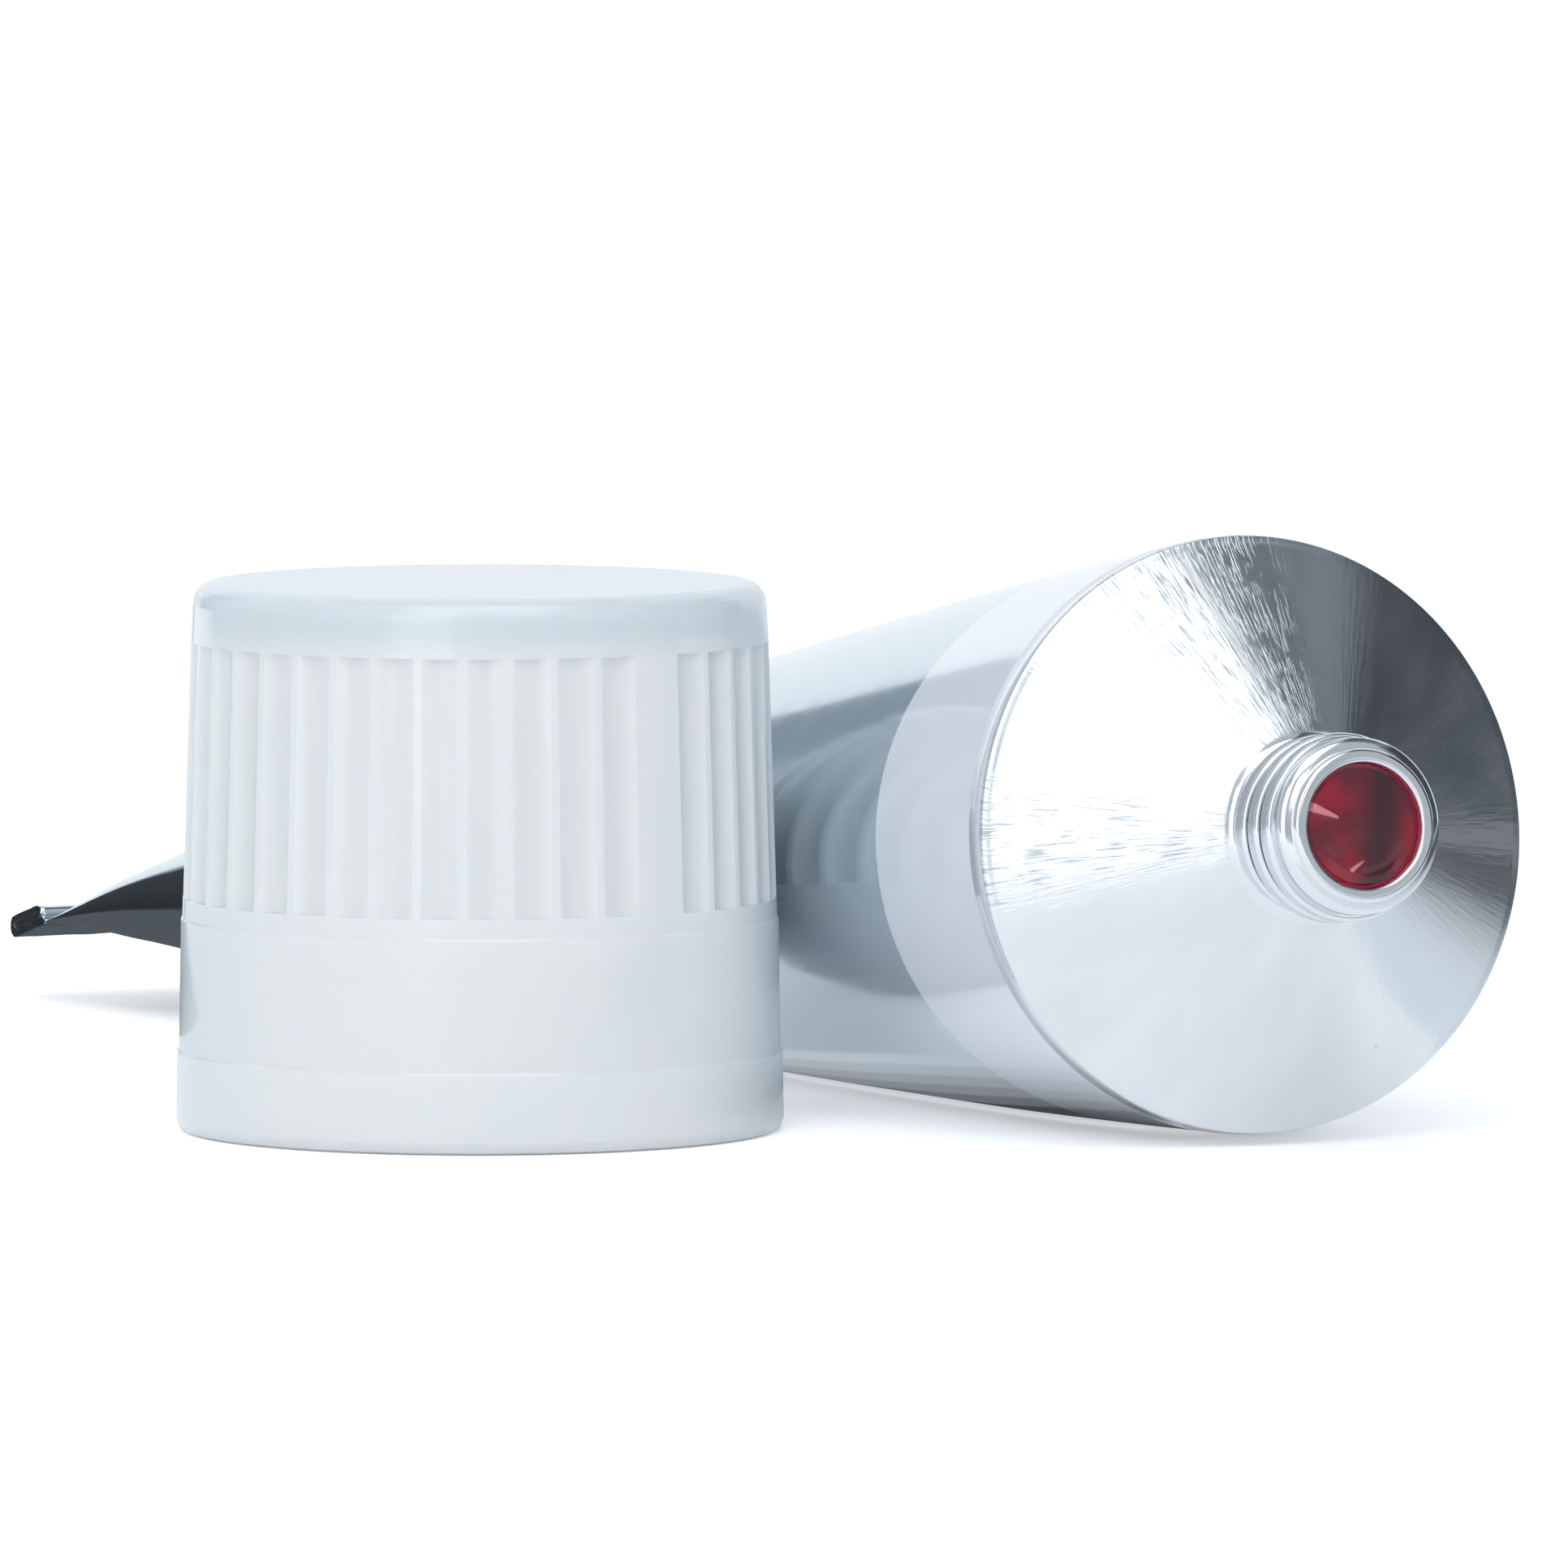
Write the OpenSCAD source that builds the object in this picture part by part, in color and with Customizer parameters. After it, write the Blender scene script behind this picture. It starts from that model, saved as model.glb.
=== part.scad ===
// Shoe polish tube: a filled collapsible metal tube lying on its side, with its screw cap taken off beside it.
// Units are millimetres, +Z is up, the ground is z = 0, and the nozzle points along +X.

/* [View] */
// Which node is shown

/* [Tube body] */
// Outer diameter of the round end of the body
tube_d = 35; // [25:0.5:50]
// Length of the body from the rim to the start of the fold
body_len = 118; // [80:1:160]
// Thickness of the metal sheet of the body
sheet = 0.15; // [0.1:0.01:0.3]
// Angle at which the tube lies, nozzle up, in degrees
lie_tilt = 5.9; // [4:0.1:8]
// Bend of the flat end, down from the tube's axis, in degrees
tail_bend = 7.5; // [0:0.5:15]
// How far the filled tube's belly is pressed flat by the ground
belly_flat = 0.18; // [0.05:0.01:0.5]
// Gap between the filling and the metal
fill_gap = 0.05; // [0.02:0.01:0.2]

/* [Fold] */
// Depth of the folded strip along the tube
fold_len = 5.4; // [3:0.1:8]
// Gap between the layers of the fold
fold_gap = 0.08; // [0.06:0.01:0.3]

/* [Shoulder and neck] */
// Height of the cone from the rim to the neck
cone_h = 8.3; // [5:0.1:12]
// Wall of the shoulder
shoulder_wall = 0.5; // [0.3:0.05:1]
// Height of the mouth above the rim plane
mouth_h = 15.2; // [12:0.1:20]
// Diameter over the thread's crest
thread_d = 11; // [9:0.1:14]
// Diameter at the root of the thread
root_d = 9.9; // [8:0.1:13]
// Pitch of the thread
thread_pitch = 1.65; // [1.2:0.05:2.5]
// Diameter of the mouth's bore
mouth_d = 7.3; // [4:0.1:8]
// Diameter over the rounded lip
lip_d = 9; // [6:0.1:12]
// How far the filling stands below the mouth
fill_drop = 0.35; // [0.1:0.05:2]

/* [Cap] */
// Height of the cap
cap_h = 32.3; // [26:0.1:45]
// How much wider the cap's foot is than the tube
cap_over = 0.8; // [0:0.1:3]
// How much narrower the cap is at its top than at its foot
cap_taper = 2; // [0.5:0.1:5]
// Wall of the cap's skirt
cap_wall = 1.1; // [0.8:0.1:2]
// Thickness of the cap's top
cap_top_wall = 1.3; // [0.8:0.1:2.5]
// Height of the plain part below the grip
grip_low = 13.8; // [12:0.1:20]
// Height of the plain part above the grip
grip_drop = 3.4; // [2:0.1:6]
// Number of flutes in the grip
flutes = 40; // [24:1:60]
// Depth of a flute
flute_depth = 0.3; // [0.1:0.05:0.5]
// Clearance on diameter between the socket and the thread
socket_clear = 0.3; // [0.1:0.05:0.6]
// Wall of the sleeve round the socket
sleeve_wall = 1.15; // [0.8:0.05:2]
// Height of the cap's foot above the rim plane when it is screwed on
cap_seat = 0.6; // [0.3:0.1:2]
// Distance of the cap's axis behind the rim, as it stands beside the tube
cap_back = 27.5; // [10:1:80]
// Gap between the standing cap and the tube
cap_gap = 0.5; // [0.3:0.1:20]

/* [Hidden] */
$fn = 96;
eps = 0.01;
around = 56;
sections = 24;
tube_r = tube_d / 2;
skin_r = tube_r - 0.03;
rim_skirt = 1.4;
rim_bevel = 0.35;
root_r = root_d / 2;
crest_r = thread_d / 2;
neck_foot_r = crest_r + 0.1;
mouth_r = mouth_d / 2;
lip_r = lip_d / 2;
lip_round = 0.55;
land_r = root_r + 0.2;
land_len = 0.9;
land_low = mouth_h - lip_round - land_len;
foot_band = 4.65;
// Where the round end starts to change, and the coefficients of the body's half height from there to the fold
body_from = rim_skirt + 0.1;
body_span = body_len - body_from;
prof_a = 0.42;
prof_b = 0.42;
flat_h = sheet + 0.02;
layer_t = 2 * flat_h + 0.06;
layer_step = layer_t + fold_gap;
fold_half_w = half_w(flat_h, 1, tube_r) + 0.05;
bend_from = 0.9 * body_len;
bend_drop = droop(body_len);
// Height of the rim's centre above the ground: the lowest point of the belly is pressed flat
rim_z = max([for (t = [0 : 0.01 : 1])
    (body_from + t * body_span) * sin(lie_tilt) + half_h(t) * cos(lie_tilt)]) - belly_flat;
cap_foot_r = tube_r + cap_over / 2;
cap_top_r = cap_foot_r - cap_taper / 2;
grip_high = cap_h - grip_drop;
socket_r = crest_r + socket_clear / 2;
sleeve_r = socket_r + sleeve_wall;
socket_low = cone_at(sleeve_r) - cap_seat + 0.6;
seal_z = mouth_h - cap_seat + 0.1;
core_r = mouth_r - 0.35;
cap_share = (cap_back - body_from) / body_span;
cap_side = half_w(half_h(cap_share), cap_share) + cap_r(rim_z) + cap_gap;
// Middle of the whole object's box, moved to the origin
front_x = mouth_h * cos(lie_tilt) + (lip_r - 0.36) * sin(lie_tilt);
fold_tilt = lie_tilt + tail_bend;
fold_x = body_len * cos(lie_tilt) - bend_drop * sin(lie_tilt) + fold_len * cos(fold_tilt)
    + layer_step * (sin(fold_tilt) - cos(fold_tilt)) + layer_step + layer_t / 2;
box_mid_x = (front_x - fold_x) / 2;
box_mid_y = (fold_half_w - cap_side - cap_foot_r) / 2;

// Half height of the body's section at a share t of its length: an even taper that closes quickly at the fold
function half_h(t) =
    let (last = 1 - flat_h / skin_r - prof_a - prof_b)
    skin_r * (1 - prof_a * t - prof_b * t * t - last * pow(t, 12));

// Length around an ellipse of half axes a and b
function oval_len(a, b) = PI * (3 * (a + b) - sqrt((3 * a + b) * (a + 3 * b)));

// Half width of an oval of half height h with the round end's way round
function oval_w(h, r, a = 20, n = 9) =
    n == 0 ? a : oval_w(h, r, a * (1 + 1.2 * (2 * PI * r / oval_len(a, h) - 1)), n - 1);

// Half width of two flat faces with round edges, with the round end's way round
function pressed_w(h, r) = h + PI / 2 * (r - h);

// How far the section is from the pressed form at a share t of the length: 1 is an oval
function oval_share(t) = 1 - 0.9 * t;

function half_w(h, t, r = skin_r) =
    oval_share(t) * oval_w(h, r) + (1 - oval_share(t)) * pressed_w(h, r);

// How far the pressed end hangs below the tube's axis
function droop(s) = tan(tail_bend) * pow(max(0, s - bend_from), 2) / (2 * (body_len - bend_from));

// Height of the cone's outside above the rim plane at a radius
function cone_at(r) =
    rim_bevel + (tube_r - rim_bevel - r) / (tube_r - rim_bevel - neck_foot_r - 0.35) * (cone_h - 0.12 - rim_bevel);

// Radius of the cap's outside at a height
function cap_r(z) = cap_foot_r + (cap_top_r - cap_foot_r) * z / cap_h;

// Turns a point on the lying tube's own axes into the shared frame, and keeps it above the ground
function lay(x, y, z, floor_z) =
    [x * cos(lie_tilt) - z * sin(lie_tilt), y, max(floor_z, rim_z + x * sin(lie_tilt) + z * cos(lie_tilt))];

// One ring of the body's skin, inset by a distance
function ring(s, h, w, t, inset) =
    [for (i = [0 : around - 1])
        let (a = 360 * i / around,
             flat = (w - h) * sign(cos(a)) * pow(abs(cos(a)), oval_share(t)))
        lay(-s, flat + (h - inset) * cos(a), (h - inset) * sin(a) - droop(s), inset)];

// Distances of the rings along the body: two round the rim's skirt, then closer together near the fold
function station(i, last) =
    i == 0 ? 0.1 : let (k = (i - 1) / (sections - 1)) body_from + (last - body_from) * (sin(90 * k) * 0.35 + k * 0.65);

function skin(inset, last, first = 0) =
    [for (i = [first : sections])
        let (s = station(i, last), t = max(0, s - body_from) / body_span, h = half_h(t))
        each ring(s, h, half_w(h, t), t, inset)];

// Faces between the rings of one skin
function band(count, start, flip) =
    [for (k = [0 : count - 1], i = [0 : around - 1])
        let (j = (i + 1) % around, a = start + k * around)
        each flip
            ? [[a + i, a + around + i, a + j], [a + j, a + around + i, a + around + j]]
            : [[a + i, a + j, a + around + i], [a + j, a + around + j, a + around + i]]];

function fan(start, flip) =
    [for (i = [1 : around - 2]) flip ? [start, start + i + 1, start + i] : [start, start + i, start + i + 1]];

// Puts a thing made around +Z, with its foot at the rim plane, on the lying tube
module on_tube() {
    translate([0, 0, rim_z])
        rotate([0, 90 - lie_tilt, 0])
            children();
}

// Thin metal body: an outer and an inner skin joined at the round end, solid where it is pressed flat
module body_shell() {
    outer = [each skin(0, body_len), each ring(body_len + 1, flat_h, half_w(flat_h, 1, tube_r), 1, 0)];
    inner = skin(sheet, body_len);
    n_out = (sections + 2) * around;
    points = [each outer, each inner];
    faces = [
        each band(sections + 1, 0, false),
        each fan(n_out - around, false),
        each band(sections, n_out, true),
        each fan(n_out + sections * around, true),
        each [for (i = [0 : around - 1])
            let (j = (i + 1) % around)
            each [[i, n_out + i, j], [j, n_out + i, n_out + j]]]];
    polyhedron(points, faces, convexity = 6);
}

// Section of the pressed strip, folded over twice with its free end tucked in between
module fold_section() {
    t = layer_t;
    step = layer_step;
    x0 = -body_len - 0.5;
    x1 = -body_len - fold_len + step;
    x2 = -body_len - 1.1;
    translate([x1, -t / 2])
        square([x0 - x1, t]);
    translate([x1, 2 * step - t / 2])
        square([x2 - x1, t]);
    translate([x1 + 0.1, step - t / 2])
        square([x2 - x1 - 0.1, t]);
    fold_bend(x1, step, step + t / 2, step - t / 2, -1);
    fold_bend(x2, step * 1.5, step / 2 + t / 2, step / 2 - t / 2, 1);
}

module fold_bend(x, z, r_out, r_in, side) {
    translate([x, z])
        difference() {
            circle(r = r_out, $fn = 40);
            circle(r = r_in, $fn = 24);
            translate([side > 0 ? -2 * r_out : 0, -2 * r_out])
                square([2 * r_out, 4 * r_out]);
        }
}

module fold_strip() {
    translate([0, 0, rim_z])
        rotate([0, -lie_tilt, 0])
            translate([-body_len, 0, -bend_drop])
                rotate([0, -tail_bend, 0])
                    translate([body_len, fold_half_w, 0])
                        rotate([90, 0, 0])
                            linear_extrude(2 * fold_half_w)
                                fold_section();
}

// Turned section of the rim, the cone and the neck
module shoulder() {
    foot = cone_h;
    rotate_extrude()
        polygon([
            [tube_r - shoulder_wall, -rim_skirt],
            [tube_r, -rim_skirt],
            [tube_r, 0],
            [tube_r - rim_bevel, rim_bevel],
            [neck_foot_r + 0.35, foot - 0.12],
            [neck_foot_r, foot + 0.1],
            [neck_foot_r - 0.15, foot + 0.35],
            [root_r, foot + 0.5],
            [root_r, land_low],
            [land_r, land_low + 0.1],
            [land_r, land_low + land_len - 0.1],
            [lip_r + 0.1, mouth_h - lip_round + 0.02],
            [lip_r, mouth_h - 0.3],
            [lip_r - 0.16, mouth_h - 0.08],
            [lip_r - 0.36, mouth_h],
            [mouth_r + 0.2, mouth_h],
            [mouth_r, mouth_h - 0.2],
            [mouth_r, foot - 0.6],
            [mouth_r + 0.5, foot - 1.1],
            [tube_r - shoulder_wall, -0.3]]);
}

// Raised thread round the neck
module neck_thread() {
    steps = 30;
    z0 = cone_h + 0.95;
    turns = (land_low - 0.3 - z0) / thread_pitch;
    n = round(turns * steps);
    inner = root_r - 0.2;
    half_foot = 0.7;
    half_crest = 0.3;
    points = [for (k = [0 : n])
        let (a = 360 * k / steps, z = z0 + thread_pitch * k / steps,
             grow = min(1, min(k, n - k) / (steps / 5)),
             top = root_r - 0.1 + (crest_r - root_r + 0.1) * grow)
        each [[inner * cos(a), inner * sin(a), z - half_foot],
              [top * cos(a), top * sin(a), z - half_crest],
              [top * cos(a), top * sin(a), z + half_crest],
              [inner * cos(a), inner * sin(a), z + half_foot]]];
    faces = [
        each [for (k = [0 : n - 1], i = [0 : 3])
            let (j = (i + 1) % 4, a = k * 4)
            each [[a + i, a + j, a + 4 + i], [a + j, a + 4 + j, a + 4 + i]]],
        [0, 3, 2], [0, 2, 1],
        [n * 4, n * 4 + 1, n * 4 + 2], [n * 4, n * 4 + 2, n * 4 + 3]];
    polyhedron(points, faces, convexity = 8);
}

module tube() {
    color([0.72, 0.74, 0.78])
        union() {
            body_shell();
            fold_strip();
            on_tube() {
                shoulder();
                neck_thread();
            }
        }
}

// The filling, up to just inside the mouth
module polish() {
    inset = sheet + fill_gap;
    r = tube_r - shoulder_wall - fill_gap;
    top = mouth_h - fill_drop;
    points = skin(inset, body_len - 2.4, 1);
    faces = [
        each fan(0, true),
        each band(sections - 1, 0, false),
        each fan((sections - 1) * around, false)];
    color([0.42, 0.05, 0.13])
        union() {
            polyhedron(points, faces, convexity = 4);
            on_tube()
                rotate_extrude()
                    polygon([
                        [0, -4],
                        [r - 0.6, -4],
                        [r - 0.1, -rim_skirt],
                        [r - 0.1, -0.35],
                        [mouth_r + 0.5 - fill_gap, cone_h - 1.2],
                        [mouth_r - fill_gap, cone_h - 0.7],
                        [mouth_r - fill_gap, top - 0.25],
                        [mouth_r - 0.3, top - 0.06],
                        [mouth_r - 0.9, top],
                        [0, top + 0.1]]);
        }
}

// Turned section of the cap's outer form
module cap_outer() {
    edge = 1.3;
    rotate_extrude()
        polygon([
            [0, 0],
            [cap_foot_r - 0.55, 0],
            [cap_foot_r - 0.2, 0.15],
            [cap_foot_r, 0.7],
            [cap_foot_r - 0.06, foot_band],
            [cap_r(foot_band) - 0.04, foot_band + 0.15],
            [cap_r(grip_low) + 0.12, grip_low - 1.35],
            [cap_r(grip_low) + 0.04, grip_low - 1.2],
            [cap_r(grip_low), grip_low],
            [cap_r(grip_high), grip_high],
            [cap_top_r, cap_h - edge],
            each [for (a = [15 : 15 : 90])
                [cap_top_r - edge + edge * cos(a), cap_h - edge + edge * sin(a)]],
            [0, cap_h]]);
}

// Inside of the cap: the skirt's hollow round the sleeve
module cap_hollow() {
    top = cap_h - cap_top_wall;
    rotate_extrude()
        polygon([
            [sleeve_r, socket_low],
            [sleeve_r, -1],
            [cap_foot_r - cap_wall - 0.1, -1],
            [cap_foot_r - cap_wall - 0.1, 0.01],
            [cap_r(foot_band) - cap_wall - 0.2, foot_band],
            [cap_top_r - cap_wall - 0.3, top - 1.2],
            [cap_top_r - cap_wall - 0.65, top - 0.35],
            [cap_top_r - cap_wall - 1.5, top],
            [sleeve_r - 0.3, top],
            [sleeve_r - 0.6, top - 0.4]]);
}

module screw_cap() {
    draft = atan((cap_r(grip_low) - cap_r(grip_high)) / (grip_high - grip_low));
    flute_r = 2.5;
    color([0.93, 0.95, 0.97])
        translate([-cap_back, -cap_side, 0])
            difference() {
                cap_outer();
                cap_hollow();
                translate([0, 0, -1])
                    cylinder(r = sleeve_r + 0.5, h = socket_low + 1);
                translate([0, 0, socket_low - 1])
                    cylinder(r = socket_r, h = seal_z - socket_low + 1);
                translate([0, 0, socket_low - eps])
                    cylinder(r1 = socket_r + 0.4, r2 = socket_r, h = 0.4);
                translate([0, 0, seal_z - 1])
                    cylinder(r = core_r, h = cap_h - cap_top_wall - seal_z + 1);
                for (k = [0 : flutes - 1])
                    rotate([0, 0, 360 * (k + 0.5) / flutes])
                        translate([cap_r(grip_low) + flute_r - flute_depth, 0, grip_low])
                            rotate([0, -draft, 0])
                                cylinder(r = flute_r, h = grip_high - grip_low, $fn = 48);
            }
}

translate([-box_mid_x, -box_mid_y, 0]) {
    tube();
    polish();
    screw_cap();
}
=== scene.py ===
"""Looks of a lying metal tube of polish with its white screw cap standing beside it."""
import math

import bmesh
import bpy
from mathutils import Matrix, Vector, noise


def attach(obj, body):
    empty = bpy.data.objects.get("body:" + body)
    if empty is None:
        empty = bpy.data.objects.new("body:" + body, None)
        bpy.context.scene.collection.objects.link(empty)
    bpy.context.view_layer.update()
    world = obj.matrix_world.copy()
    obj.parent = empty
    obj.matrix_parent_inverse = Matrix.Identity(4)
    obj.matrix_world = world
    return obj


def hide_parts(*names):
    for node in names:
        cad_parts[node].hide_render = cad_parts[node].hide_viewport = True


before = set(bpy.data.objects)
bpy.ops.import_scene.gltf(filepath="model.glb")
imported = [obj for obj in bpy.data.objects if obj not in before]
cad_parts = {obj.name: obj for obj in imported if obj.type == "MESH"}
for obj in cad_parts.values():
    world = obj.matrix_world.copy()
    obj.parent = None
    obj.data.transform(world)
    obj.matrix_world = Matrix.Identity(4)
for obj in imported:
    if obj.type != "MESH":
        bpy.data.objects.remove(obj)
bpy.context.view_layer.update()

# Sizes, as in the part's source, in millimetres
MM = 0.001
TUBE_R = 17.5
BODY_LEN = 118.0
BODY_FROM = 1.5
BODY_SPAN = BODY_LEN - BODY_FROM
SHEET = 0.15
# The skin's middle at the round end, and half the height of its pressed end
SKIN_R = TUBE_R - 0.03
FLAT_H = SHEET + 0.02
# The two shares that shape the taper between them
PROF_A = 0.42
PROF_B = 0.42
# The tube's lean on the table, the bend of its pressed end, and the middle of its rim in the shared frame
TILT = math.radians(5.9)
TAIL_BEND = math.radians(7.5)
BEND_FROM = 0.9 * BODY_LEN
RIM = Vector((53.6637, 13.7457, 18.1008))
AXIS = Vector((math.cos(TILT), 0.0, math.sin(TILT)))
# The folded end
FOLD_LEN = 5.4
LAYER_T = 0.40
LAYER_STEP = 0.48
# Shoulder and neck
RIM_ROUND = 0.3
CONE_H = 8.3
MOUTH_H = 15.2
MOUTH_R = 3.65
LAND_R = 5.15
LAND_LOW = MOUTH_H - 0.55 - 0.9
LIP_R = 4.5
LIP_ROUND = 0.36
LIP_INNER_ROUND = 0.25
# Thread
ROOT_R = 4.95
CREST_R = 5.5
PITCH = 1.65
TURNS = 2.6
RIDGE_W = 1.2
RIDGE_ROUND = 0.27
THREAD_FROM = CONE_H + 0.95
# Width of the pale ring, and how far the paste lies below the lip and rises in its middle
RING_W = 12.85
PASTE_LOW = 0.42
PASTE_RISE = 0.20

# Colours, as linear red, green and blue
BLACK = (0.0, 0.0, 0.0, 1)
WHITE = (1.0, 1.0, 1.0, 1)
SILVER_DIM = (0.66, 0.74, 0.80, 1)
SILVER_BRIGHT = (0.70, 0.775, 0.83, 1)
RING_PALE = (0.84, 0.88, 0.95, 1)
METAL_DIM = (0.75, 0.79, 0.83, 1)
METAL_BRIGHT = (0.80, 0.83, 0.865, 1)
METAL_SCRATCH = (0.40, 0.455, 0.51, 1)
METAL_PIN_MARK = (0.45, 0.48, 0.52, 1)
NECK_BRIGHT = (0.80, 0.83, 0.87, 1)
WINE_DARK = (0.13, 0.010, 0.022, 1)
WINE_RED = (0.36, 0.006, 0.026, 1)
# Painted shade for the paste's dark band
WINE_PAINTED_SHADE = (0.040, 0.010, 0.016, 1)
# Painted sheen along the paste's edge
WINE_PAINTED_SHEEN = (0.62, 0.035, 0.085, 1)
# Painted highlight on the paste's raised scraps
SCRAP_PAINTED_HIGHLIGHT = (0.72, 0.22, 0.25, 1)
PLASTIC_DIM = (0.875, 0.915, 0.94, 1)
PLASTIC_LIGHT = (0.895, 0.93, 0.95, 1)
# Painted shade at the cap's edges
PLASTIC_PAINTED_EDGE_SHADE = (0.60, 0.69, 0.77, 1)
# Painted shade round the cap's top
PLASTIC_PAINTED_TOP_SHADE = (0.60, 0.68, 0.745, 1)
TABLE_WHITE = (0.90, 0.91, 0.92, 1)
CARD_BLUE = (0.84, 1.0, 1.16, 1)
CARD_COOL = (0.92, 1.0, 1.07, 1)
CARD_WHITE = (0.95, 1.0, 1.03, 1)
SKY_PALE = (0.88, 0.95, 1.0, 1)


def share(s):
    """Share of the body's length at a distance behind the rim."""
    return min(1.0, max(0.0, s - BODY_FROM) / BODY_SPAN)


def half_h(s):
    """Half height of the body's section."""
    t = share(s)
    last = 1 - FLAT_H / SKIN_R - PROF_A - PROF_B
    return SKIN_R * (1 - PROF_A * t - PROF_B * t * t - last * t ** 12)


def oval_share(s):
    """1 where the section is an oval, less where it is pressed to flat faces with round edges."""
    return 1 - 0.9 * share(s)


def half_w(s, h, r=SKIN_R):
    """Half width of the section, with the round end's way round."""
    oval = 20.0
    # Each pass brings the oval's way round nearer to the round end's
    for _ in range(9):
        around = math.pi * (3 * (oval + h) - math.sqrt((3 * oval + h) * (oval + 3 * h)))
        oval *= 1 + 1.2 * (2 * math.pi * r / around - 1)
    pressed = h + math.pi / 2 * (r - h)
    return oval_share(s) * oval + (1 - oval_share(s)) * pressed


def droop(s):
    """How far the pressed end hangs below the tube's axis."""
    return math.tan(TAIL_BEND) * max(0.0, s - BEND_FROM) ** 2 / (2 * (BODY_LEN - BEND_FROM))


def lay(x, y, z, floor_z=0.0):
    """A point on the tube's own axes, in the shared frame, in metres."""
    wx = RIM.x + x * math.cos(TILT) - z * math.sin(TILT)
    wz = RIM.z + x * math.sin(TILT) + z * math.cos(TILT)
    return Vector((wx, RIM.y + y, max(floor_z, wz))) * MM


def link(name, mesh):
    """A new object in the scene that shows a mesh."""
    obj = bpy.data.objects.new(name, mesh)
    bpy.context.scene.collection.objects.link(obj)
    return obj


# Material helpers


class Nodes:
    """Short calls for building a node material."""

    def __init__(self, name):
        self.mat = bpy.data.materials.new(name)
        self.mat.use_nodes = True
        self.tree = self.mat.node_tree
        self.bsdf = self.tree.nodes["Principled BSDF"]

    def add(self, kind, **settings):
        node = self.tree.nodes.new(kind)
        for key, value in settings.items():
            setattr(node, key, value)
        return node

    def link(self, a, b):
        self.tree.links.new(a, b)

    def put(self, socket, value):
        if isinstance(value, bpy.types.NodeSocket):
            self.link(value, socket)
        else:
            socket.default_value = value

    def coord(self):
        return self.add("ShaderNodeTexCoord").outputs["Object"]

    def uv(self, name):
        return self.add("ShaderNodeUVMap", uv_map=name).outputs["UV"]

    def scaled(self, vector, scale, shift=(0, 0, 0)):
        node = self.add("ShaderNodeMapping")
        self.link(vector, node.inputs["Vector"])
        node.inputs["Scale"].default_value = scale
        node.inputs["Location"].default_value = shift
        return node.outputs["Vector"]

    def noise(self, vector, scale, detail=3.0, rough=0.5):
        node = self.add("ShaderNodeTexNoise")
        self.link(vector, node.inputs["Vector"])
        node.inputs["Scale"].default_value = scale
        node.inputs["Detail"].default_value = detail
        node.inputs["Roughness"].default_value = rough
        return node.outputs["Fac"]

    def ramp(self, value, low, high, out_low=0.0, out_high=1.0, step="SMOOTHSTEP"):
        node = self.add("ShaderNodeMapRange", interpolation_type=step)
        self.put(node.inputs["Value"], value)
        node.inputs["From Min"].default_value = low
        node.inputs["From Max"].default_value = high
        node.inputs["To Min"].default_value = out_low
        node.inputs["To Max"].default_value = out_high
        return node.outputs["Result"]

    def math(self, op, a, b=0.0, c=0.0):
        node = self.add("ShaderNodeMath", operation=op)
        self.put(node.inputs[0], a)
        self.put(node.inputs[1], b)
        if op == "MULTIPLY_ADD":
            self.put(node.inputs[2], c)
        return node.outputs[0]

    def mix(self, fac, a, b):
        node = self.add("ShaderNodeMix", data_type="RGBA")
        self.put(node.inputs["Factor"], fac)
        self.put(node.inputs["A"], a)
        self.put(node.inputs["B"], b)
        return node.outputs["Result"]

    def split(self, vector):
        node = self.add("ShaderNodeSeparateXYZ")
        self.link(vector, node.inputs[0])
        return node.outputs

    def bump(self, height, strength, distance, normal=None):
        node = self.add("ShaderNodeBump")
        self.put(node.inputs["Height"], height)
        node.inputs["Strength"].default_value = strength
        node.inputs["Distance"].default_value = distance
        if normal is not None:
            self.link(normal, node.inputs["Normal"])
        return node.outputs["Normal"]

    def set(self, **values):
        for key, value in values.items():
            self.put(self.bsdf.inputs[key.replace("_", " ")], value)


def lacquer_material():
    """Glossy silver lacquer over the metal body, with a pale printed ring next to the rim."""
    m = Nodes("tube_lacquer")
    uv = m.split(m.uv("body"))
    # The map's first axis is the way round in turns, its second the distance behind the rim in millimetres
    ring_start = m.ramp(uv[1], -0.4, -0.3)
    ring_end = m.ramp(uv[1], RING_W - 0.10, RING_W, 1.0, 0.0)
    ring = m.math("MULTIPLY", ring_start, ring_end)
    cloud = m.noise(m.coord(), 60.0, 2.0)
    silver = m.mix(m.ramp(cloud, 0.3, 0.7), SILVER_DIM, SILVER_BRIGHT)
    m.set(Base_Color=m.mix(ring, silver, RING_PALE))
    m.set(Metallic=m.ramp(ring, 0, 1, 0.97, 0.30, "LINEAR"))
    fine = m.noise(m.coord(), 500.0, 2.0)
    m.set(Roughness=m.ramp(fine, 0.3, 0.7, 0.11, 0.15), Coat_Weight=0.4, Coat_Roughness=0.04)
    waves = m.noise(m.coord(), 45.0, 1.0)
    m.set(Normal=m.bump(waves, 0.05, 0.0004))
    return m.mat


def fan(m, turn, middle, half):
    """1 inside a sector round the middle, soft at its sides, in turns."""
    off = m.math("ABSOLUTE", m.math("SUBTRACT", turn, middle))
    return m.ramp(off, half * 0.35, half, 1.0, 0.0)


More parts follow.
